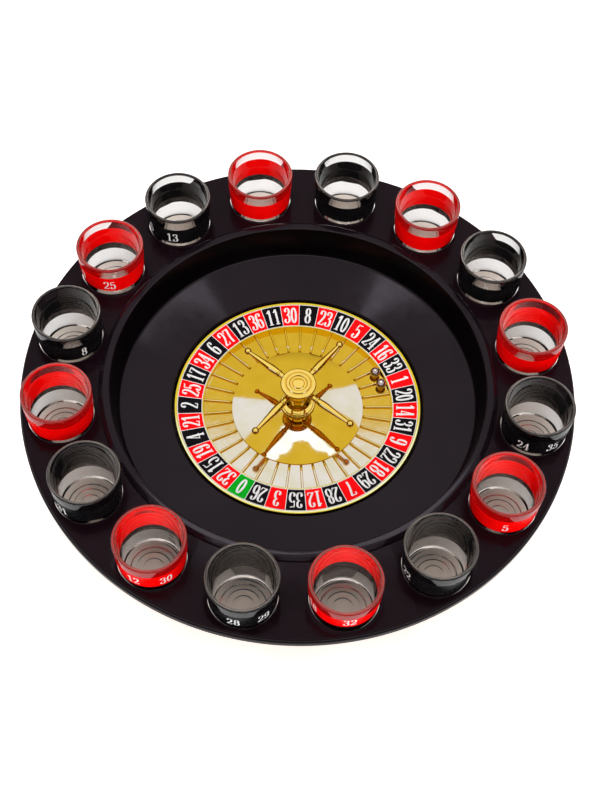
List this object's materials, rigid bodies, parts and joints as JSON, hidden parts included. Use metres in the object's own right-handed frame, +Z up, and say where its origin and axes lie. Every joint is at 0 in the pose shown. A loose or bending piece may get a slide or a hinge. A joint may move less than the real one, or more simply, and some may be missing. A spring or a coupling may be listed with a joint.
{
  "type": "roulette wheel drinking game set",
  "caption": "Round black tray with a ring of hanging shot glasses, a sunken bowl and a spinning gold numbered wheel with a four-armed turret and steel balls.",
  "frame": {"origin": "on the table, under the centre of the tray", "axes": "+Z up along the wheel's spindle, -Y towards the player, +X to the right"},
  "size_m": [0.29, 0.29, 0.059],
  "materials": {
    "black_plastic": "glossy injection-moulded black",
    "base_plastic": "fine-grained black",
    "foot_rubber": "matt",
    "steel": "turned, zinc-bright",
    "ball_steel": "polished",
    "bush_plastic": "natural nylon",
    "gold_plating": "vacuum-metallised mirror gold on moulded plastic",
    "number_label": "printed label, red, black and one green field",
    "clear_glass": "clear pressed glass with a printed band"
  },
  "bodies": {
    "tray": {"tray_flange": "black_plastic", "bowl": "black_plastic", "bearing_plate": "black_plastic", "base_cover": "base_plastic", "cover_screws": "steel", "foot_pad_1": "foot_rubber", "foot_pad_2": "foot_rubber", "foot_pad_3": "foot_rubber", "foot_pad_4": "foot_rubber", "spindle": "steel", "spindle_nut": "steel", "thrust_washer": "steel", "retaining_clip": "steel"},
    "wheel": {"pivot_bush": "bush_plastic", "wheel_pan": "gold_plating", "number_ring": "number_label", "wheel_cone": "gold_plating", "turret_neck": "gold_plating", "turret_hub": "gold_plating", "turret_cap": "gold_plating", "turret_arm_1": "gold_plating", "turret_arm_2": "gold_plating", "turret_arm_3": "gold_plating", "turret_arm_4": "gold_plating"},
    "ball_1": {"steel_ball_1": "ball_steel"},
    "ball_2": {"steel_ball_2": "ball_steel"},
    "glass_01": {"shot_glass_01": "clear_glass"},
    "glass_02": {"shot_glass_02": "clear_glass"},
    "glass_03": {"shot_glass_03": "clear_glass"},
    "glass_04": {"shot_glass_04": "clear_glass"},
    "glass_05": {"shot_glass_05": "clear_glass"},
    "glass_06": {"shot_glass_06": "clear_glass"},
    "glass_07": {"shot_glass_07": "clear_glass"},
    "glass_08": {"shot_glass_08": "clear_glass"},
    "glass_09": {"shot_glass_09": "clear_glass"},
    "glass_10": {"shot_glass_10": "clear_glass"},
    "glass_11": {"shot_glass_11": "clear_glass"},
    "glass_12": {"shot_glass_12": "clear_glass"},
    "glass_13": {"shot_glass_13": "clear_glass"},
    "glass_14": {"shot_glass_14": "clear_glass"},
    "glass_15": {"shot_glass_15": "clear_glass"},
    "glass_16": {"shot_glass_16": "clear_glass"}
  },
  "joints": [
    {"name": "wheel_spin", "type": "hinge", "parent": "tray", "child": "wheel", "pos_m": [0, 0, 0.0084], "axis": [0, 0, 1], "continuous": true},
    {"name": "ball_1_lift", "type": "slide", "parent": "wheel", "child": "ball_1", "axis": [0, 0, 1], "range_m": [0, 0.04]},
    {"name": "ball_2_lift", "type": "slide", "parent": "wheel", "child": "ball_2", "axis": [0, 0, 1], "range_m": [0, 0.04]},
    {"name": "glass_01_lift", "type": "slide", "parent": "tray", "child": "glass_01", "axis": [0, 0, 1], "range_m": [0, 0.05]},
    {"name": "glass_02_lift", "type": "slide", "parent": "tray", "child": "glass_02", "axis": [0, 0, 1], "range_m": [0, 0.05]},
    {"name": "glass_03_lift", "type": "slide", "parent": "tray", "child": "glass_03", "axis": [0, 0, 1], "range_m": [0, 0.05]},
    {"name": "glass_04_lift", "type": "slide", "parent": "tray", "child": "glass_04", "axis": [0, 0, 1], "range_m": [0, 0.05]},
    {"name": "glass_05_lift", "type": "slide", "parent": "tray", "child": "glass_05", "axis": [0, 0, 1], "range_m": [0, 0.05]},
    {"name": "glass_06_lift", "type": "slide", "parent": "tray", "child": "glass_06", "axis": [0, 0, 1], "range_m": [0, 0.05]},
    {"name": "glass_07_lift", "type": "slide", "parent": "tray", "child": "glass_07", "axis": [0, 0, 1], "range_m": [0, 0.05]},
    {"name": "glass_08_lift", "type": "slide", "parent": "tray", "child": "glass_08", "axis": [0, 0, 1], "range_m": [0, 0.05]},
    {"name": "glass_09_lift", "type": "slide", "parent": "tray", "child": "glass_09", "axis": [0, 0, 1], "range_m": [0, 0.05]},
    {"name": "glass_10_lift", "type": "slide", "parent": "tray", "child": "glass_10", "axis": [0, 0, 1], "range_m": [0, 0.05]},
    {"name": "glass_11_lift", "type": "slide", "parent": "tray", "child": "glass_11", "axis": [0, 0, 1], "range_m": [0, 0.05]},
    {"name": "glass_12_lift", "type": "slide", "parent": "tray", "child": "glass_12", "axis": [0, 0, 1], "range_m": [0, 0.05]},
    {"name": "glass_13_lift", "type": "slide", "parent": "tray", "child": "glass_13", "axis": [0, 0, 1], "range_m": [0, 0.05]},
    {"name": "glass_14_lift", "type": "slide", "parent": "tray", "child": "glass_14", "axis": [0, 0, 1], "range_m": [0, 0.05]},
    {"name": "glass_15_lift", "type": "slide", "parent": "tray", "child": "glass_15", "axis": [0, 0, 1], "range_m": [0, 0.05]},
    {"name": "glass_16_lift", "type": "slide", "parent": "tray", "child": "glass_16", "axis": [0, 0, 1], "range_m": [0, 0.05]}
  ]
}
